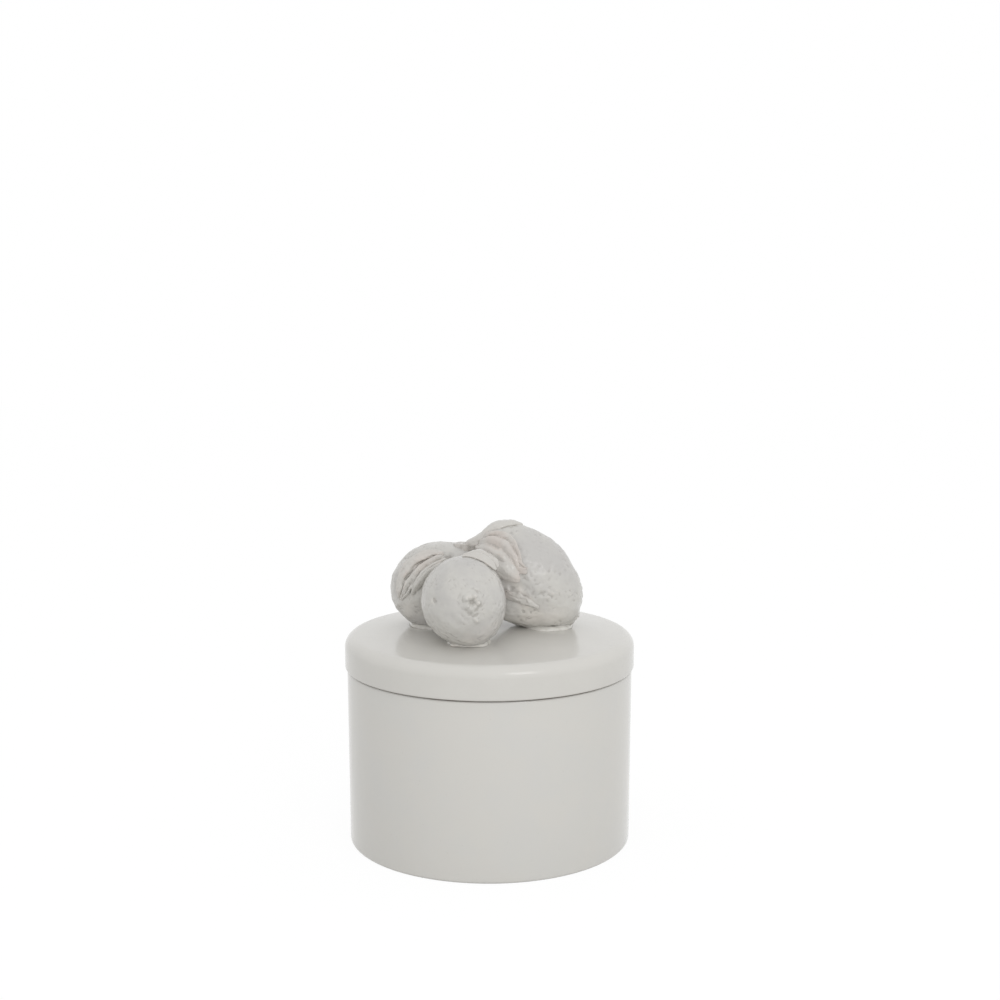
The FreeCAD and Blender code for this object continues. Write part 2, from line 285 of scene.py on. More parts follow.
def build_pooling_and_light_group():
    """Glaze that is deep in hollows and thin on edges, and bare matt clay where it was wiped off. The deep
    colour also paints shade, a thin colour lighter than the glaze paints highlights, and the dark clay the
    seam's shade.
    """
    group, given, result = new_group("glaze_pooling_and_painted_light", {
        "Glaze": (0.6, 0.6, 0.58, 1),
        "Deep_and_shade": (0.4, 0.4, 0.38, 1),
        "Thin_and_highlight": (0.6, 0.5, 0.45, 1),
        "Relief": 0,
        "Warmth_and_light": 0,
        "Bare": 0,
        "Clay_and_seam_shade": CLAY_AND_SEAM_SHADE,
        "Depth": 1,
        "Thinness_and_highlight": 1,
        "Gloss": 0.2,
    }, {"Color": "NodeSocketColor", "Roughness": "NodeSocketFloat"})
    place = group.nodes.new("ShaderNodeTexCoord").outputs["Object"]
    patchy = ramp_between(group, noise(group, place, **WORN_AND_LIT_PATCH), *WORN_AND_LIT_PATCH_STEP)
    # On the lemons the thin colour is lighter than the glaze, so crests and knobs get a painted highlight; on
    # leaves and slip it is warm thin glaze.
    crest = times(group, ramp_between(group, given["Relief"], *CREST_STEP), given["Thinness_and_highlight"])
    # Warm spots take the thin colour as well, which on the lemons makes them painted light.
    warm_and_lit = ramp_between(group, given["Warmth_and_light"], *WARMTH_AND_LIGHT_STEP)
    worn_and_lit = calculate(group, "MAXIMUM", times(group, crest, patchy), warm_and_lit)
    # Hollows darken to the deep colour: pooled glaze, and painted shade as well.
    sunk = calculate(group, "MULTIPLY", given["Relief"], -1)
    hollow_shade = times(group, ramp_between(group, sunk, *HOLLOW_SHADE_STEP), given["Depth"])
    colour = blend_colours(group, worn_and_lit, given["Glaze"], given["Thin_and_highlight"])
    colour = blend_colours(group, hollow_shade, colour, given["Deep_and_shade"])
    # Bare clay, dark enough to paint the seam's shade too.
    colour = blend_colours(group, given["Bare"], colour, given["Clay_and_seam_shade"])
    group.links.new(colour, result["Color"])
    matt = group.nodes.new("ShaderNodeMapRange")
    matt.inputs["To Max"].default_value = CLAY_ROUGHNESS
    group.links.new(given["Bare"], matt.inputs["Value"])
    group.links.new(given["Gloss"], matt.inputs["To Min"])
    group.links.new(matt.outputs["Result"], result["Roughness"])
    return group


pooling_and_light_group = build_pooling_and_light_group()
print(pooling_and_light_group.name, "has", len(pooling_and_light_group.nodes), "nodes")

# %% [markdown]
# A second group adds what a kiln always leaves: slow clouds of tone, a few fine specks, and a gentle ripple
# in the surface, which each material turns into a bump.

# %% Build the group for kiln marks
CLOUD = {"size": 22 * MM, "detail": 4, "roughness": 0.6}
CLOUD_STEP = (0.4, 0.65)
SPECK = {"size": 0.7 * MM, "detail": 1}
SPECK_STEP = (0.76, 0.82)
RIPPLE = {"size": 9 * MM, "detail": 2}


def build_kiln_group():
    """Slow clouds of tone and fine specks over a glaze colour, and its gentle ripple."""
    group, given, result = new_group("kiln_marks", {
        "Color": (0.6, 0.6, 0.58, 1),
        "Cloud": (0.5, 0.5, 0.5, 1),
        "Cloudiness": 0.2,
        "Speck": (0.3, 0.25, 0.2, 1),
        "Specks": 0.3,
    }, {"Color": "NodeSocketColor", "Ripple": "NodeSocketFloat"})
    place = group.nodes.new("ShaderNodeTexCoord").outputs["Object"]
    clouds = ramp_between(group, noise(group, place, **CLOUD), *CLOUD_STEP)
    specks = ramp_between(group, noise(group, place, **SPECK), *SPECK_STEP)
    colour = blend_colours(group, times(group, clouds, given["Cloudiness"]), given["Color"], given["Cloud"])
    colour = blend_colours(group, times(group, specks, given["Specks"]), colour, given["Speck"])
    group.links.new(colour, result["Color"])
    group.links.new(noise(group, place, **RIPPLE), result["Ripple"])
    return group


kiln_group = build_kiln_group()
print(kiln_group.name, "has", len(kiln_group.nodes), "nodes")

# %% [markdown]
# ## The glaze materials
#
# Jar, lid, lemons, leaves and slip share the two groups with values of their own. The jar's glaze is even.
# On the fruit it is cooler and uneven, and on the leaves a warm pinkish clay shows at the ridges.

# %% Helpers that mix a glaze
GLAZE_IOR = 1.5
RIPPLE_HEIGHT = 1 * MM


def linear(red, green, blue):
    """A colour as it looks on screen, from 0 to 255 a channel, turned into the light that it reflects."""
    return tuple(((v / 255 + 0.055) / 1.055) ** 2.4 for v in (red, green, blue)) + (1,)


def place_group(nodes, group, values):
    """Puts a shared group in a material, with the material's own values."""
    node = nodes.new("ShaderNodeGroup")
    node.node_tree = group
    for label, value in values.items():
        node.inputs[label].default_value = value
    return node


# The depth sets how far hollows darken, as pooled glaze and painted shade, and the thinness how far crests
# take the thin colour, which on the lemons is a painted highlight.
def glaze(name, colour, deep_and_shade, thin_and_highlight, cloud, cloudiness=0.3, depth=1.0, thinness_and_highlight=0.0, roughness=0.12,
          ripple=0.05, specks=0.25):
    """A glaze with its own colour, and those that it has deep in hollows, thin on edges and in clouds. The
    deep colour also paints shade in hollows, and a thin colour lighter than the glaze paints highlights.
    """
    material = bpy.data.materials.new(name)
    material.use_nodes = True
    nodes, links = material.node_tree.nodes, material.node_tree.links
    shader = nodes["Principled BSDF"]
    shader.inputs["IOR"].default_value = GLAZE_IOR
    pooling_and_light = place_group(nodes, pooling_and_light_group, {
        "Glaze": linear(*colour), "Deep_and_shade": linear(*deep_and_shade), "Thin_and_highlight": linear(*thin_and_highlight),
        "Depth": depth, "Thinness_and_highlight": thinness_and_highlight, "Gloss": roughness,
    })
    for label in ("Relief", "Warmth_and_light", "Bare"):
        mark = nodes.new("ShaderNodeAttribute")
        mark.attribute_name = label.lower()
        links.new(mark.outputs["Fac"], pooling_and_light.inputs[label])
    kiln = place_group(nodes, kiln_group, {
        "Cloud": linear(*cloud), "Cloudiness": cloudiness, "Specks": specks,
    })
    bump = nodes.new("ShaderNodeBump")
    bump.inputs["Strength"].default_value = ripple
    bump.inputs["Distance"].default_value = RIPPLE_HEIGHT
    links.new(pooling_and_light.outputs["Color"], kiln.inputs["Color"])
    links.new(pooling_and_light.outputs["Roughness"], shader.inputs["Roughness"])
    links.new(kiln.outputs["Color"], shader.inputs["Base Color"])
    links.new(kiln.outputs["Ripple"], bump.inputs["Height"])
    links.new(bump.outputs["Normal"], shader.inputs["Normal"])
    return material


# %% Mix the glazes
jar_glaze = glaze("jar_glaze", (213, 211, 206), (196, 193, 187), (208, 196, 184), (209, 209, 207))
lid_glaze = glaze(
    "lid_glaze", (213, 211, 206), (196, 193, 187), (208, 196, 184), (207, 205, 200),
    roughness=0.16,
)
# The lemons' thin colour is lighter than their glaze: a painted highlight on crests and knobs, which also
# lightens their warm spots. On lemons, leaves and slip the deep colour is pooled glaze and painted shade in
# hollows.
lemon_glaze = glaze(
    "lemon_glaze", (204, 202, 197), (172, 168, 162), (224, 219, 212), (192, 190, 188),
    cloudiness=0.7, depth=0.7, thinness_and_highlight=0.5, roughness=0.27, ripple=0.12, specks=0.1,
)
leaf_glaze = glaze(
    "leaf_glaze", (207, 205, 200), (170, 166, 160), (210, 201, 194), (200, 195, 190),
    cloudiness=0.7, depth=0.8, thinness_and_highlight=1.0, roughness=0.15, ripple=0.12, specks=0.2,
)
slip_glaze = glaze(
    "slip_glaze", (216, 214, 208), (190, 186, 178), (214, 204, 192), (206, 203, 197),
    thinness_and_highlight=0.4, roughness=0.16,
)
print("glazes", [m.name for m in (jar_glaze, lid_glaze, lemon_glaze, leaf_glaze, slip_glaze)])

# %% [markdown]
# ## Modelling by hand
#
# Blender's operators act on whatever is selected. So everything is deselected first, a primitive is added,
# and then vertices are picked in edit mode by a rule about their place, the way a hand would box-select them.

# %% Helpers for picking
def clear_selection():
    if bpy.context.object and bpy.context.object.mode != "OBJECT":
        bpy.ops.object.mode_set(mode="OBJECT")
    bpy.ops.object.select_all(action="DESELECT")


def edit():
    bpy.ops.object.mode_set(mode="EDIT")
    bpy.ops.mesh.select_mode(type="VERT")
    bpy.ops.mesh.select_all(action="SELECT")


def pick(rule):
    """Selects just those vertices of the piece in edit mode whose place the rule accepts."""
    mesh = bmesh.from_edit_mesh(bpy.context.object.data)
    for vertex in mesh.verts:
        vertex.select_set(bool(rule(vertex.co)))
    mesh.select_flush_mode()
    bmesh.update_edit_mesh(bpy.context.object.data)


# %% Helpers for finishing a piece
SAME_SPOT = 0.001 * MM


def done():
    """Joins vertices that share a spot, points every face outwards, and leaves edit mode."""
    bpy.ops.mesh.select_all(action="SELECT")
    bpy.ops.mesh.remove_doubles(threshold=SAME_SPOT)
    bpy.ops.mesh.normals_make_consistent(inside=False)
    bpy.ops.object.mode_set(mode="OBJECT")
    bpy.ops.object.shade_smooth()


def finish_with(piece, kind, **settings):
    """Adds a modifier with these settings and applies it."""
    modifier = piece.modifiers.new(kind.lower(), kind)
    for name, value in settings.items():
        setattr(modifier, name, value)
    clear_selection()
    piece.select_set(True)
    bpy.context.view_layer.objects.active = piece
    bpy.ops.object.modifier_apply(modifier=modifier.name)


def dress(piece, body, material, slot, *nodes):
    """Gives a finished piece its material and body, and lets it stand for its nodes of the frame."""
    piece.data.materials.clear()
    piece.data.materials.append(material)
    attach(piece, body)
    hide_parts(*nodes)
    print(piece.name, "stands for", nodes, "with", len(piece.data.polygons), "faces")


# %% [markdown]
# ## Throwing on a wheel
#
# A potter turns the jar, the lid and its flange on a wheel. The same is done here: a disc is the start, and
# its rim is extruded, widened and lifted from one station of the half outline to the next. The sharp rings
# are then bevelled. A rounding is given as its size and its number of steps. With 256 sides round, the glaze
# mirrors things without facets.

# %% Helpers for the wheel
WHEEL_SIDES = 256
ON_RING = 0.02 * MM


def on_ring(radius, z):
    """A rule that accepts the vertices of one ring."""
    return lambda co: abs(math.hypot(co.x, co.y) - radius) < ON_RING and abs(co.z - z) < ON_RING


def throw(name, stations, closed=False):
    """Pulls a disc, or an open ring, through stations of radius and height."""
    clear_selection()
    radius, z = stations[0]
    bpy.ops.mesh.primitive_circle_add(
        vertices=WHEEL_SIDES, radius=radius, location=(0, 0, z), fill_type="NOTHING" if closed else "TRIFAN"
    )
    piece = bpy.context.object
    piece.name = name
    bpy.ops.object.transform_apply(location=True)
    edit()
    for next_radius, next_z in stations[1:]:
        pick(on_ring(radius, z))
        bpy.ops.mesh.extrude_region_move(TRANSFORM_OT_translate={"value": (0, 0, next_z - z)})
        share = next_radius / radius
        bpy.ops.transform.resize(value=(share, share, 1), center_override=(0, 0, next_z))
        radius, z = next_radius, next_z
    if not closed:
        pick(on_ring(radius, z))
        bpy.ops.mesh.edge_face_add()
    return piece


def round_rings(rounding, *rings):
    """Bevels these sharp rings of the piece in edit mode."""
    size, segments = rounding
    for radius, z in rings:
        pick(on_ring(radius, z))
        bpy.ops.mesh.bevel(offset=size, segments=segments, affect="EDGES")


def wipe_bare(piece, rule):
    """Marks where the glaze was wiped off before firing, so that the pieces don't stick together."""
    bare = piece.data.attributes.new("bare", "FLOAT", "POINT")
    for vertex in piece.data.vertices:
        bare.data[vertex.index].value = float(rule(vertex.co.z))


# %% [markdown]
# ## Jar
#
# The jar is a straight cup that widens very slightly upwards. It stands on a low foot ring. Its foot and its
# rim are left bare of glaze, because there it touches the kiln's shelf and the lid. The bare clay is darker
# than plain fired clay, so the rim also paints the shade in the seam under the lid.

# %% Turn the jar
BARE_EDGE = 0.35 * MM
JAR_WALL = 4.5 * MM
JAR_FLOOR = 5 * MM
JAR_DRAFT = 0.5 * MM
JAR_FOOT_ROUND = (1.2 * MM, 6)
JAR_RIM_ROUND = (1.3 * MM, 8)
JAR_MOUTH_ROUND = (0.9 * MM, 6)
JAR_FLOOR_ROUND = (5 * MM, 8)
FOOT_RING_WIDTH = 5 * MM
FOOT_RING_ROUND = (0.5 * MM, 3)
FOOT_RECESS = 1.2 * MM

jar_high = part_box("jar_body")[1]
jar_radius = round(jar_high.x / MM, 1) * MM
jar_top = jar_high.z
foot_radius = jar_radius - JAR_DRAFT
mouth_radius = jar_radius - JAR_WALL
floor_radius = mouth_radius - JAR_DRAFT
ring_bore = foot_radius - FOOT_RING_WIDTH

jar = throw("jar", [
    (ring_bore, FOOT_RECESS),
    (ring_bore, 0),
    (foot_radius, 0),
    (jar_radius, jar_top),
    (mouth_radius, jar_top),
    (floor_radius, JAR_FLOOR),
])
round_rings(FOOT_RING_ROUND, (ring_bore, 0), (ring_bore, FOOT_RECESS))
round_rings(JAR_FOOT_ROUND, (foot_radius, 0))
round_rings(JAR_RIM_ROUND, (jar_radius, jar_top))
round_rings(JAR_MOUTH_ROUND, (mouth_radius, jar_top))
round_rings(JAR_FLOOR_ROUND, (floor_radius, JAR_FLOOR))
done()
wipe_bare(jar, lambda z: z > jar_top - BARE_EDGE or z < BARE_EDGE)
dress(jar, "jar", jar_glaze, "jar_glaze", "jar_body")

# %% [markdown]
# ## Lid
#
# The lid's crown is a very shallow dome, so its stations follow a circle of large radius, which is worked out
# from the lid's width and rise. Under the lid is a hollow with the same dome.

# %% Measure the lid
LID_EDGE = 13.5 * MM
LID_WALL = 5 * MM
FLANGE_WALL = 4 * MM
DOME_STEPS = 12

lid_low, lid_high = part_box("lid_plate")
flange_low, flange_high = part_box("lid_flange")
lid_radius = round(lid_high.x / MM, 1) * MM
lid_foot = lid_low.z
dome_rise = lid_high.z - (lid_foot + LID_EDGE)
dome_radius = (lid_radius ** 2 + dome_rise ** 2) / (2 * dome_rise)
flange_radius = round(flange_high.x / MM, 1) * MM
bore_radius = flange_radius - FLANGE_WALL


def crown_z(radius, sink=0):
    """The height of the dome, or of one that lies this far inside it, at a distance from the axis."""
    return lid_high.z - dome_radius + math.sqrt((dome_radius - sink) ** 2 - radius ** 2)


def dome_stations(edge_radius, sink):
    """Stations from near the middle of a dome out to its edge."""
    radii = [edge_radius * step / DOME_STEPS for step in range(1, DOME_STEPS + 1)]
    return [(radius, crown_z(radius, sink)) for radius in radii]


print("lid dome radius", round(dome_radius / MM), "mm")

# %% Turn the lid
LID_SHOULDER_ROUND = (4.5 * MM, 12)
LID_LIP_ROUND = (1.1 * MM, 8)
LID_HOLLOW_ROUND = (3 * MM, 6)

lid_top_stations = dome_stations(lid_radius, 0)
lid_edge_stations = [(lid_radius, lid_foot), (bore_radius, lid_foot)]
lid_hollow_stations = dome_stations(bore_radius, LID_WALL)[::-1]
lid = throw("lid", lid_top_stations + lid_edge_stations + lid_hollow_stations)
round_rings(LID_SHOULDER_ROUND, lid_top_stations[-1])
round_rings(LID_LIP_ROUND, (lid_radius, lid_foot))
round_rings(LID_HOLLOW_ROUND, lid_hollow_stations[0])
done()
print("lid turned with", len(lid.data.polygons), "faces")

# %% [markdown]
# A hollow lemon would burst in the kiln, so under the middle of each a small hole lets its air out through
# the lid. The holes are drilled with a cylinder and a boolean.

# %% Drill the vents
LEMON_PLACES = {"front": (-10.6, -26.5), "left": (-21.2, 5.5), "right": (16.0, 3.5)}
VENT_RADIUS = 1.5 * MM
VENT_SIDES = 32

for x, y in LEMON_PLACES.values():
    clear_selection()
    bpy.ops.mesh.primitive_cylinder_add(
        vertices=VENT_SIDES, radius=VENT_RADIUS, depth=2 * LID_EDGE, location=(x * MM, y * MM, lid_high.z)
    )
    drill = bpy.context.object
    finish_with(lid, "BOOLEAN", object=drill, operation="DIFFERENCE", solver="EXACT")
    bpy.data.objects.remove(drill)
# The lid's bare foot is dark clay, which also paints the shade in the seam over the jar.
wipe_bare(lid, lambda z: z < lid_foot + BARE_EDGE)
dress(lid, "lid", lid_glaze, "lid_glaze", "lid_plate")

# %% [markdown]
# ## Flange
#
# The flange is the ring under the lid that drops into the jar's mouth and keeps the lid centred. It is an
# open ring, pulled round its section until it closes, and bare all over, because it touches the jar.

# %% Turn the flange
FLANGE_FOOT_ROUND = (1.2 * MM, 5)

flange_foot = flange_low.z
flange = throw("lid_flange_ring", [
    (bore_radius, lid_foot),
    (bore_radius, flange_foot),
    (flange_radius, flange_foot),
    (flange_radius, lid_foot),
    (bore_radius, lid_foot),
], closed=True)
round_rings(FLANGE_FOOT_ROUND, (bore_radius, flange_foot), (flange_radius, flange_foot))
done()
wipe_bare(flange, lambda z: True)
dress(flange, "lid", lid_glaze, "lid_glaze", "lid_flange")

# %% [markdown]
# ## Lemons
#
# A lemon is a ball drawn out to a blunt tip with a small crater, where the blossom was. The clay ones are
# pinched by hand, so each is a bit out of round. Each has a middle, three sizes, the way its tip points, and
# small knobs round its crater, given by their turn in degrees and their height in millimetres.

# %% Lay out the lemons
LEMONS = {
    "front": {
        "middle": Vector((*LEMON_PLACES["front"], 107.4)) * MM,
        "wide": 34.2 * MM, "tall": 36.6 * MM, "long": 43.0 * MM,
        "turn": math.radians(-80), "tilt": math.radians(11),
        "knobs": [(-115, 1.7), (-45, 1.2), (20, 1.5), (75, 2.0), (150, 1.4)],
    },
    "left": {
        "middle": Vector((*LEMON_PLACES["left"], 107.5)) * MM,
        "wide": 36.6 * MM, "tall": 36.8 * MM, "long": 43.5 * MM,
        "turn": math.radians(153), "tilt": math.radians(-16),
        "knobs": [(0, 0.6), (70, 0.8), (140, 0.5), (-60, 0.7), (-130, 0.4)],
    },
    "right": {
        "middle": Vector((*LEMON_PLACES["right"], 111.3)) * MM,
        "wide": 36.4 * MM, "tall": 37.3 * MM, "long": 53.0 * MM,
        "turn": math.radians(-5), "tilt": math.radians(-42),
        "knobs": [(10, 0.5), (85, 0.7), (160, 0.6), (-70, 0.6), (-120, 0.5)],
    },
}
print("lemons", {name: round(form["long"] / MM, 1) for name, form in LEMONS.items()}, "mm long")

# %% [markdown]
# The potter's fingers leave dents and ridges. Each is a place, how far the clay moves there, and how far
# that reaches, all in millimetres.

# %% List the pinches
PINCHES = {
    "front": [
        ((-10.6, -27, 89), (1.8, 0, 0), 26), ((-22.0, -28, 94), (0.5, 0, 0), 9),
        ((-7.0, -46.6, 109.0), (0, -0.9, 0), 1.9), ((-6.3, -46.4, 107.0), (0, -0.9, 0), 1.7),
        ((-5.8, -46.0, 105.0), (0, -0.9, 0), 1.7), ((-5.2, -45.4, 103.4), (0, -1.1, 0), 1.5),
        ((-21.5, -40.5, 110.5), (0.4, 1.0, 0), 2.4), ((4.2, -35.0, 104.0), (-0.5, 0.6, 0), 2.2),
    ],
    "left": [((-17.0, -7.0, 123.0), (0, 1.2, -2.4), 3.0), ((-28, -8, 100), (0, 1.2, 0), 6)],
    "right": [
        ((9.0, -6, 97), (-4.2, -2.5, 0), 13), ((31.0, -4, 98), (1.0, -0.5, 0), 9),
        ((15.6, -14.2, 117.8), (0.1, -0.8, 0.2), 1.7), ((16.0, -14.6, 115.8), (0.1, -0.8, 0), 1.6),
        ((16.6, -14.8, 113.6), (0.1, -0.7, 0), 1.6), ((14.2, -14.4, 105.4), (0, 2.0, 0), 1.9),
        ((9.5, -14.0, 109.6), (0, 1.0, 0), 1.8), ((12.6, -14.6, 108.6), (0, -0.8, 0), 1.6),
        ((7.2, -13.2, 108.6), (0, -0.8, 0), 1.5), ((21.5, -14.5, 108.5), (0, 0.8, 0), 1.9),
    ],
}
print("pinches", {name: len(marks) for name, marks in PINCHES.items()})

# %% [markdown]
# A sphere is stretched to the lemon's size. Its tip is pulled out and pressed in with soft selection, which
# moves what lies near by less and less, as wet clay does. Then it is turned, set on the lid and pinched.

# %% Helpers that pull clay
ON_SPOT = 0.01 * MM


def turn_to(turn, tilt):
    """Turns what is selected so that +Z points this way. With no window the operator turns the other way."""
    bpy.ops.transform.rotate(value=tilt - math.pi / 2, orient_axis="Y", center_override=(0, 0, 0))
    bpy.ops.transform.rotate(value=-turn, orient_axis="Z", center_override=(0, 0, 0))


def pull(offset, reach):
    """Moves the picked vertices, and the ones within reach of them by less and less."""
    bpy.ops.transform.translate(
        value=offset, use_proportional_edit=True, proportional_edit_falloff="SMOOTH", proportional_size=reach
    )


def pull_at(piece, place, offset, reach):
    """Pulls the vertex nearest to a place, with its surroundings."""
    mesh = bmesh.from_edit_mesh(piece.data)
    nearest = min(mesh.verts, key=lambda v: (v.co - place).length_squared).co.copy()
    pick(lambda co: (co - nearest).length_squared < ON_SPOT ** 2)
    pull(offset, reach)


# %% Helper that shapes a lemon
LEMON_SIDES = 144
LEMON_RINGS = 88
TIP_SHARE = 0.995
TIP_PULL = 0.8 * MM
TIP_REACH = 4.5 * MM
KNOB_RING = 2.5 * MM
KNOB_REACH = 1.6 * MM
CRATER_SPOT = 0.3 * MM
CRATER_DEPTH = 1.5 * MM
CRATER_REACH = 1.7 * MM
HEEL_SHARE = 0.99
HEEL_PRESS = 2 * MM
HEEL_REACH = 6 * MM


def shape_lemon(name, wide, tall, long, turn, tilt, middle, knobs, pinches):
    """A lemon with its tip, knobs, crater and pressed heel, turned, set in place and pinched."""
    clear_selection()
    bpy.ops.mesh.primitive_uv_sphere_add(segments=LEMON_SIDES, ring_count=LEMON_RINGS, radius=1)
    piece = bpy.context.object
    piece.name = name
    edit()
    bpy.ops.transform.resize(value=(tall / 2, wide / 2, long / 2))
    end = long / 2
    pick(lambda co: co.z > TIP_SHARE * end)
    pull((0, 0, TIP_PULL), TIP_REACH)
    for knob_turn, height in knobs:
        way = direction(math.radians(knob_turn), 0)
        pull_at(piece, way * KNOB_RING + Vector((0, 0, end)), (0, 0, height * MM), KNOB_REACH)
    pick(lambda co: co.z > 0 and math.hypot(co.x, co.y) < CRATER_SPOT)
    pull((0, 0, -CRATER_DEPTH), CRATER_REACH)
    pick(lambda co: co.z < -HEEL_SHARE * end)
    pull((0, 0, HEEL_PRESS), HEEL_REACH)
    bpy.ops.mesh.select_all(action="SELECT")
    turn_to(turn, tilt)
    bpy.ops.transform.translate(value=middle)
    for place, offset, reach in pinches:
        pull_at(piece, Vector(place) * MM, Vector(offset) * MM, reach * MM)
    done()
    return piece


# %% [markdown]
# Peel is uneven at three sizes: slow lumps, small dimples all over, and finer pebbles that come and go in
# patches. A procedural texture pushes the skin in and out for each. Then the lemon is cut off a little below
# the lid's top, where the lid hides the cut.

# %% Helpers for the skin
FOOT_SINK = 0.4 * MM


def finer(piece, levels):
    finish_with(piece, "SUBSURF", levels=levels, render_levels=levels)


def push_skin(piece, size, height, detail=1, group=""):
    """Pushes the surface in and out by a procedural texture, all over or by a vertex group's weights."""
    texture = bpy.data.textures.new(piece.name + "_clouds", "CLOUDS")
    texture.noise_scale = size
    texture.noise_depth = detail
    finish_with(
        piece, "DISPLACE", texture=texture, texture_coords="LOCAL", strength=height, mid_level=0.5,
        vertex_group=group,
    )


def mark_patches(piece, name, size, low, high):
    """A vertex group whose weights come and go in patches of this size."""
    group = piece.vertex_groups.new(name=name)
    for vertex in piece.data.vertices:
        level = (patchwork.noise(vertex.co / size) - low) / (high - low)
        group.add([vertex.index], min(max(level, 0.0), 1.0), "REPLACE")


def cut_at_lid(x, y):
    """Cuts off what of the active piece lies deeper in the lid than FOOT_SINK, and closes the cut."""
    floor_z = crown_z(math.hypot(x, y)) - FOOT_SINK
    edit()
    bpy.ops.mesh.bisect(plane_co=(x, y, floor_z), plane_no=(0, 0, 1), use_fill=True, clear_inner=True)
    done()


# %% [markdown]
# The glaze reads two marks from the mesh. Relief is how far a vertex stands out from a smoothed copy of its
# surroundings, and it is found by averaging neighbours again and again. Through the glaze it paints shade in
# hollows and, on the lemons, highlights on crests. Warmth is brushed on as soft spots, and on the lemons it
# paints the peel lighter as well as warmer.

# %% Helpers that mark the mesh for the glaze
RELIEF_LIMIT = 1.5


def mark_relief(piece, reach, height):
    """Stores how far each vertex stands out from its smoothed surroundings, as a share of height."""
    mesh = piece.data
    count = len(mesh.vertices)
    places = np.empty(count * 3)
    mesh.vertices.foreach_get("co", places)
    places = places.reshape(-1, 3)
    normals = np.empty(count * 3)
    mesh.vertex_normals.foreach_get("vector", normals)
    normals = normals.reshape(-1, 3)
    edges = np.empty(len(mesh.edges) * 2, int)
    mesh.edges.foreach_get("vertices", edges)
    edges = edges.reshape(-1, 2)
    degree = np.bincount(edges.ravel(), minlength=count).clip(1)[:, None]
    smooth = places.copy()
    for _ in range(reach):
        total = np.zeros_like(smooth)
        for axis in range(3):
            total[:, axis] += np.bincount(edges[:, 0], smooth[edges[:, 1], axis], count)
            total[:, axis] += np.bincount(edges[:, 1], smooth[edges[:, 0], axis], count)
        smooth = (smooth + total / degree) / 2
    stands_out = ((places - smooth) * normals).sum(1)
    stands_out = (stands_out - np.median(stands_out)) / height
    attribute = mesh.attributes.new("relief", "FLOAT", "POINT")
    attribute.data.foreach_set("value", stands_out.clip(-RELIEF_LIMIT, RELIEF_LIMIT).astype(np.float32))


def paint(piece, spots):
    """Stores how warm the glaze is, and on the lemons how far it paints the peel lighter: each spot is a
    place, how far it reaches in mm, and how warm it is.
    """
    mesh = piece.data
    warmth_and_light = mesh.attributes.new("warmth_and_light", "FLOAT", "POINT")
    for vertex in mesh.vertices:
        shares = [s * max(0.0, 1 - (vertex.co / MM - Vector(p)).length / r) for p, r, s in spots]
        warmth_and_light.data[vertex.index].value = min(1.0, sum(shares))


# %% [markdown]
# A copy of each smooth lemon is kept as a guide before its skin is roughened. The leaves will be laid on it.

# %% Model the lemons
LUMPS = {"size": 11 * MM, "height": 1.0 * MM}
DIMPLES = {"size": 3.6 * MM, "height": 0.5 * MM}
PEBBLES = {"size": 1.6 * MM, "height": 0.6 * MM}
PEBBLE_PATCHES = {"size": 6 * MM, "low": -0.15, "high": 0.35}
LEMON_RELIEF = {"reach": 12, "height": 0.12 * MM}
# On the lemons the warm spots take the lighter thin colour. Low on the right lemon they paint a reflection of
# the lid, low on the front lemon the light that the lid throws up, and on the right lemon's front a rough
# warm patch of clay.
WARM_AND_LIT_PEEL = {
    "front": [((1.0, -40, 97), 8, 1.0), ((-6, -42, 94), 8, 0.7)],
    "left": [((-33, -6, 98), 9, 0.5)],
    "right": [
        ((6.0, -13.0, 110.7), 5, 1.2), ((10.5, -14.4, 109.3), 5, 1.2), ((14.2, -14.4, 105.1), 5, 1.2),
        ((13, -9, 98), 9, 0.5), ((21, -11, 98), 9, 0.5), ((29, -8, 98), 8, 0.4),
    ],
}


def copy_of(piece, name):
    """A copy with a mesh of its own."""
    twin = piece.copy()
    twin.data = piece.data.copy()
    twin.name = name
    bpy.context.scene.collection.objects.link(twin)
    return twin


guides = {}
for name, form in LEMONS.items():
    fruit = shape_lemon("lemon_" + name + "_fruit", pinches=PINCHES[name], **form)
    guides[name] = copy_of(fruit, "guide_" + name)
    push_skin(fruit, **LUMPS)
    finer(fruit, 1)
    mark_patches(fruit, "peel", **PEBBLE_PATCHES)
    push_skin(fruit, group="peel", **PEBBLES)
    push_skin(fruit, **DIMPLES)
    cut_at_lid(form["middle"].x, form["middle"].y)
    mark_relief(fruit, **LEMON_RELIEF)
    paint(fruit, WARM_AND_LIT_PEEL[name])
    dress(fruit, "lid", lemon_glaze, "lemon_glaze", "lemon_" + name)

# %% [markdown]
# ## Leaves
#
# A potter rolls a leaf out flat, cuts it, presses its rib and veins, and lays it over the fruit, where it
# takes the fruit's curve. Here a grid is the flat leaf. Vertex groups mark what will rise or sink, and each
# has a formula in two shares: along runs from 0 at the base to 1 at the tip, and across from -1 to 1.

# %% Helpers that mark a flat leaf
RIB_WIDTH = 0.16
VEINS = 4
VEIN_WIDTH = 0.3
VEIN_SLANT = 0.35
RIM_START = 0.5


def ridge(distance, width):
    """1 on a line, and 0 at this distance from it."""
    return max(0.0, 1 - abs(distance) / width)


def arch(along):
    """0 at both ends and 1 halfway."""
    return math.sin(math.pi * along)


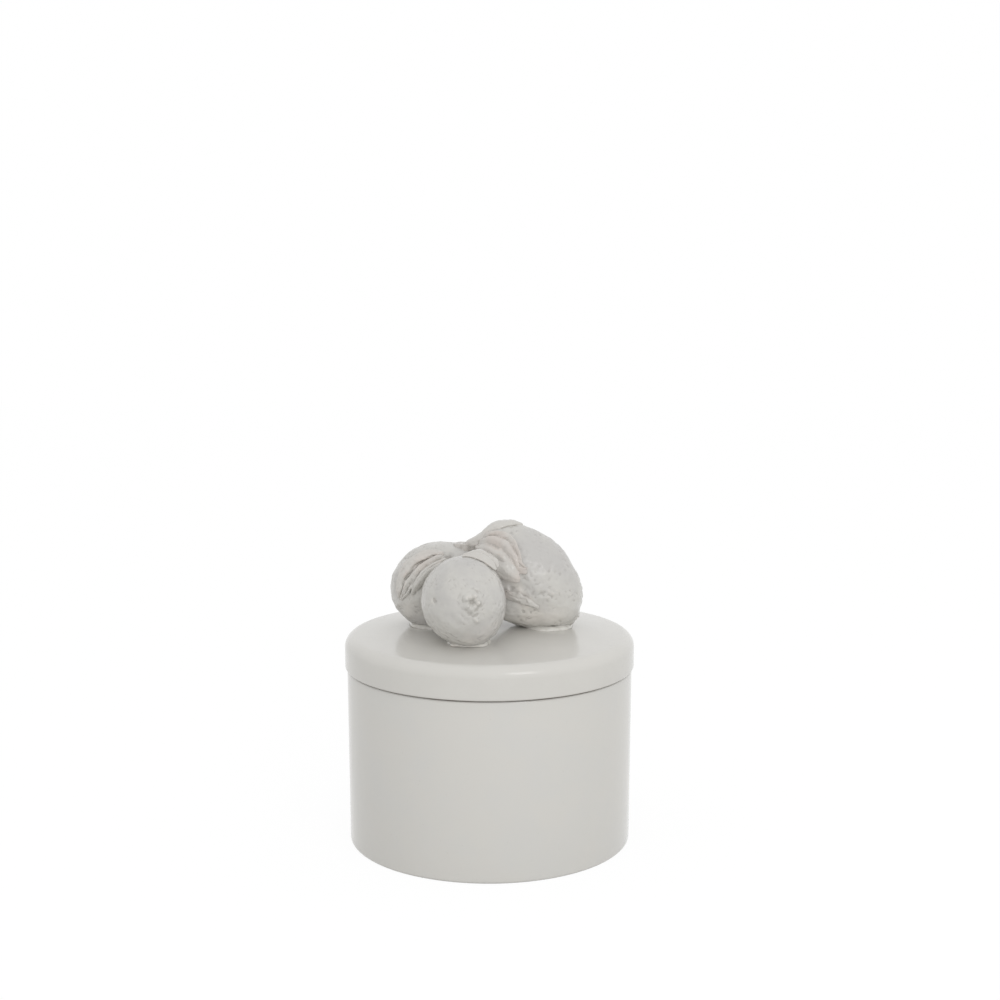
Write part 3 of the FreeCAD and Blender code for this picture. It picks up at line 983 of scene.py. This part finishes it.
def leaf_formulas(folds):
    """The weights of what rises or sinks on a leaf with this many long folds."""
    return {
        "rib": lambda along, across: ridge(across, RIB_WIDTH) * (1.1 - along),
        "veins": lambda along, across: (
            ridge(((along - VEIN_SLANT * abs(across)) * VEINS) % 1 - 0.5, VEIN_WIDTH)
            * min(1, 3 * (1 - abs(across))) * min(1, 4 * abs(across))
        ),
        "folds": lambda along, across: (
            (0.5 - 0.5 * math.cos(math.pi * folds * (across + 1))) * arch(along ** 0.7)
        ),
        "near_rim": lambda along, across: (across - RIM_START) / (1 - RIM_START) * arch(along) ** 0.5,
        "far_rim": lambda along, across: (-across - RIM_START) / (1 - RIM_START) * arch(along) ** 0.5,
        "crown": lambda along, across: arch(along) * (1 - across ** 2),
        "heel": lambda along, across: min(1, 5 * along) * (1 - along) ** 2 * (1 - across ** 2),
        "toe": lambda along, across: min(1, 5 * (1 - along)) * along ** 2 * (1 - across ** 4),
        "far_lean": lambda along, across: (
            (1 - across) / 2 * min(1, 2.2 * (1 - along)) * min(1, 0.6 + 3 * along)
        ),
    }


def mark(piece, name, weigh):
    """A vertex group whose weights a formula gives from the flat leaf's shares, along and across."""
    group = piece.vertex_groups.new(name=name)
    for vertex in piece.data.vertices:
        weight = weigh(vertex.co.x + 0.5, 2 * vertex.co.y)
        group.add([vertex.index], min(max(weight, 0.0), 1.0), "REPLACE")


# %% [markdown]
# The leaf's outline comes next: each row of the grid is narrowed, and moved aside by less towards the ends,
# so that the leaf can curve sideways. Then it is stretched to its real length and width.

# %% Helper that cuts a flat leaf
LEAF_ROWS = 36
LEAF_COLUMNS = 16
ON_ROW = 0.25 / LEAF_ROWS
LEAF_WIDEST_SHARE = 0.42


def leaf_half_width(along, base_share, tip_share):
    """The leaf's half width at this share of its length, as a share of the widest."""
    ends = base_share * (1 - along) + tip_share * along
    swell = arch(along ** (math.log(0.5) / math.log(LEAF_WIDEST_SHARE)))
    return ends + (1 - ends) * swell


def cut_leaf(name, length, width, swing, ends, marks, folds):
    """A flat leaf whose middle swings aside, with a weighted vertex group for each of the marks."""
    clear_selection()
    bpy.ops.mesh.primitive_grid_add(x_subdivisions=LEAF_ROWS, y_subdivisions=LEAF_COLUMNS, size=1)
    piece = bpy.context.object
    piece.name = name
    formulas = leaf_formulas(folds)
    for group in marks:
        mark(piece, group, formulas[group])
    edit()
    for row in range(LEAF_ROWS + 1):
        along = row / LEAF_ROWS
        pick(lambda co: abs(co.x + 0.5 - along) < ON_ROW)
        share = leaf_half_width(along, *ends)
        bpy.ops.transform.resize(value=(1, share, 1), center_override=(0, 0, 0))
        bpy.ops.transform.translate(value=(0, swing / width * arch(along), 0))
    bpy.ops.mesh.select_all(action="SELECT")
    bpy.ops.transform.resize(value=(length, width, 1), center_override=(0, 0, 0))
    bpy.ops.object.mode_set(mode="OBJECT")
    return piece


# %% [markdown]
# The flat leaf is set just off the lemon, and the shrinkwrap modifier lays it on the smooth guide. Then its
# folds and rims rise, it gets its thickness, a subdivision rounds its edge, and two textures leave it uneven.

# %% Helpers that lay a leaf
LEAF_DROP = 2 * MM
LEAF_SEAT = 0.4 * MM
LEAF_INWARDS = -0.6
LEAF_WAVES = {"size": 3.5 * MM, "height": 0.6 * MM, "detail": 2}
LEAF_GRAIN = {"size": 1.3 * MM, "height": 0.22 * MM}
LEAF_RELIEF = {"reach": 40, "height": 0.25 * MM}


def find_seat(guide, base, through, tip):
    """Where a leaf's middle lies on a lemon, its axes there, its length, and how far it swings aside."""
    middle = LEMONS[guide]["middle"]
    start, bend, end = (direction(math.radians(t), math.radians(e)) for t, e in (base, through, tip))
    way = (start + end).normalized()
    forward = (end - start).normalized()
    side = way.cross(forward).normalized()
    skin = guides[guide].ray_cast(middle, way)[1]
    radius = (skin - middle).length
    length = 2 * radius * math.tan(start.angle(end) / 2)
    swing = radius * bend.dot(side) / bend.dot(way)
    return skin, (forward, side, way), length, swing


def lay_leaf(name, guide, base, through, tip, width, ends, heights, folds=0, thick=1.1):
    """Cuts a leaf and lays it on a lemon, from its base through a middle place to its tip."""
    skin, axes, length, swing = find_seat(guide, base, through, tip)
    piece = cut_leaf(name, length, width * MM, swing, ends, heights, folds)
    place = Matrix(axes).transposed().to_4x4()
    place.translation = skin + axes[2] * LEAF_DROP
    piece.matrix_world = place
    bpy.ops.object.transform_apply(location=True, rotation=True, scale=True)
    finish_with(
        piece, "SHRINKWRAP", target=guides[guide], wrap_method="NEAREST_SURFACEPOINT",
        wrap_mode="ABOVE_SURFACE", offset=LEAF_SEAT,
    )
    for group, height in heights.items():
        finish_with(piece, "DISPLACE", strength=height * MM, mid_level=0, vertex_group=group)
    finish_with(piece, "SOLIDIFY", thickness=thick * MM, offset=LEAF_INWARDS)
    finer(piece, 2)
    push_skin(piece, **LEAF_WAVES)
    push_skin(piece, **LEAF_GRAIN)
    edit()
    done()
    mark_relief(piece, **LEAF_RELIEF)
    return piece


# %% [markdown]
# Four leaves lie on the right lemon, one over the top of the front lemon, and two on the left lemon. A leaf's
# base, middle place and tip are each a turn and a tilt in degrees, seen from the middle of its lemon. Widths,
# heights and thicknesses are in millimetres, and ends are the shares of the width left at base and tip.

# %% Model the leaves
LEAVES = {
    "crest": dict(
        guide="right", base=(178, 16), through=(-177, 52), tip=(60, 82), width=12.0, ends=(0.9, 0.45),
        heights={"heel": 7.2, "crown": -0.6, "toe": 2.2, "far_rim": -0.8},
    ),
    "blush": dict(
        guide="right", base=(-172, 35), through=(-130, 45), tip=(-97, 12), width=13.5, ends=(0.5, 0.5),
        heights={"folds": 1.5, "near_rim": 0.5, "far_rim": 0.5, "crown": 0.5, "veins": 0.5}, folds=2.6,
    ),
    "cheek": dict(
        guide="right", base=(-140, 20), through=(-121, 19), tip=(-99, 5), width=7.5, ends=(0.6, 0.15),
        heights={"crown": 2.4, "near_rim": 0.9, "far_rim": 0.9},
    ),
    "low": dict(
        guide="right", base=(-128, -8), through=(-106, -14), tip=(-74, -28), width=4.5, ends=(0.4, 0.25),
        heights={"crown": 0.9, "rib": -0.3}, thick=0.9,
    ),
    "front": dict(
        guide="front", base=(-6, 42), through=(4, 63), tip=(-125, 84), width=8.0, ends=(0.3, 0.12),
        heights={"far_lean": 3.6, "crown": 1.0, "rib": -0.9},
    ),
    "left": dict(
        guide="left", base=(-74, 52), through=(-121, 33), tip=(-146, -14), width=11.0, ends=(0.4, 0.2),
        heights={"far_rim": 3.2, "folds": 2.2, "veins": 0.8}, folds=2.5,
    ),
    "inner": dict(
        guide="left", base=(-74, 44), through=(-105, 27), tip=(-128, -6), width=5.0, ends=(0.6, 0.2),
        heights={"crown": 3.2, "rib": -0.9},
    ),
}
WARM_LEAF = {
    "blush": [
        ((3, -6, 129), 7, 1.2), ((12, -11.5, 126), 6, 1.2), ((13, -14, 119), 7, 1.1), ((5, -10, 125), 5, 0.4),
    ],
    "cheek": [((12, -15, 114), 6, 0.7)],
    "low": [((6, -12, 108), 6, 0.8)],
    "left": [((-27, -8, 119), 8, 0.7)],
}

for name, form in LEAVES.items():
    leaf = lay_leaf("leaf_" + name + "_blade", **form)
    paint(leaf, WARM_LEAF.get(name, []))
    dress(leaf, "lid", leaf_glaze, "leaf_glaze", "leaf_" + name)
for guide in guides.values():
    bpy.data.objects.remove(guide)

# %% [markdown]
# ## Slip
#
# Slip is wet clay, brushed round the foot of each lemon as glue. It dries as a soft uneven bead, so a ring is
# flattened, pulled out in places and made lumpy. A lump is a place, a height and a reach in millimetres.

# %% Brush on the slip
BEAD_SIDES = 144
BEAD_SECTION_SIDES = 20
BEAD_RADIUS = 2.0 * MM
BEAD_SQUASH = 0.85
BEAD_SINK = 0.3 * MM
BEAD_LUMPS = {"size": 4 * MM, "height": 0.9 * MM}
BEAD_RELIEF = {"reach": 10, "height": 0.15 * MM}
BEADS = {
    "front": {
        "shift": (2.6, -0.8), "grow": 0.88,
        "lumps": [((-16.0, -34.5, 91.3), 1.4, 3), ((-2.0, -36, 91), 1.8, 6)],
    },
    "left": {"shift": (0, 0), "grow": 0.93, "lumps": [((-24, -4, 91.3), 0.6, 4)]},
    "right": {"shift": (0, 0), "grow": 0.96, "lumps": [((22, -10, 91), 0.8, 7)]},
}


def brush_bead(name, low, high, shift, grow, lumps):
    """A bead round the foot of a lemon, from the box of its solid."""
    centre = (low + high) / 2 + Vector((*shift, 0)) * MM
    ring_radius = (high.x - low.x) / 2 * grow
    foot_z = crown_z(math.hypot(centre.x, centre.y)) - BEAD_SINK
    clear_selection()
    bpy.ops.mesh.primitive_torus_add(
        major_segments=BEAD_SIDES, minor_segments=BEAD_SECTION_SIDES,
        major_radius=ring_radius - BEAD_RADIUS, minor_radius=BEAD_RADIUS,
    )
    piece = bpy.context.object
    piece.name = name
    edit()
    bpy.ops.transform.resize(value=(1, (high.y - low.y) / (high.x - low.x), BEAD_SQUASH))
    bpy.ops.transform.translate(value=(centre.x, centre.y, foot_z))
    for place, height, reach in lumps:
        outward = (Vector(place) * MM - centre).normalized() * height * MM
        pull_at(piece, Vector(place) * MM, outward, reach * MM)
    done()
    push_skin(piece, **BEAD_LUMPS)
    cut_at_lid(centre.x, centre.y)
    mark_relief(piece, **BEAD_RELIEF)
    return piece


for name, form in BEADS.items():
    low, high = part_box("slip_" + name)
    bead = brush_bead("slip_" + name + "_bead", low, high, **form)
    dress(bead, "lid", slip_glaze, "slip_glaze", "slip_" + name)

# %% [markdown]
# ## Stalk
#
# The stalk is a stub of twig between the lemons, cut straight across and a little worn. A cylinder gets a
# rim with a shallow dish inside it, a bevel softens its edges, and a texture makes its bark.

# %% Model the stalk
STALK_SIDES = 48
STALK_RADIUS = 3.5 * MM
STALK_LENGTH = 15 * MM
STALK_RIM = 0.9 * MM
STALK_DISH = 0.4 * MM
STALK_ROUND = {"width": 0.8 * MM, "segments": 3}
STALK_BARK = {"size": 2.5 * MM, "height": 1.0 * MM, "detail": 2}
STALK_RELIEF = {"reach": 8, "height": 0.15 * MM}

low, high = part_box("stalk")
clear_selection()
bpy.ops.mesh.primitive_cylinder_add(vertices=STALK_SIDES, radius=STALK_RADIUS, depth=STALK_LENGTH)
stalk = bpy.context.object
stalk.name = "stalk_stub"
edit()
pick(lambda co: co.z > 0)
bpy.ops.mesh.inset(thickness=STALK_RIM)
bpy.ops.transform.translate(value=(0, 0, -STALK_DISH))
bpy.ops.mesh.select_all(action="SELECT")
bpy.ops.transform.translate(value=((low.x + high.x) / 2, (low.y + high.y) / 2, high.z - STALK_LENGTH / 2))
bpy.ops.object.mode_set(mode="OBJECT")
finish_with(stalk, "BEVEL", **STALK_ROUND, limit_method="ANGLE")
finer(stalk, 2)
push_skin(stalk, **STALK_BARK)
edit()
done()
mark_relief(stalk, **STALK_RELIEF)
dress(stalk, "lid", leaf_glaze, "leaf_glaze", "stalk")
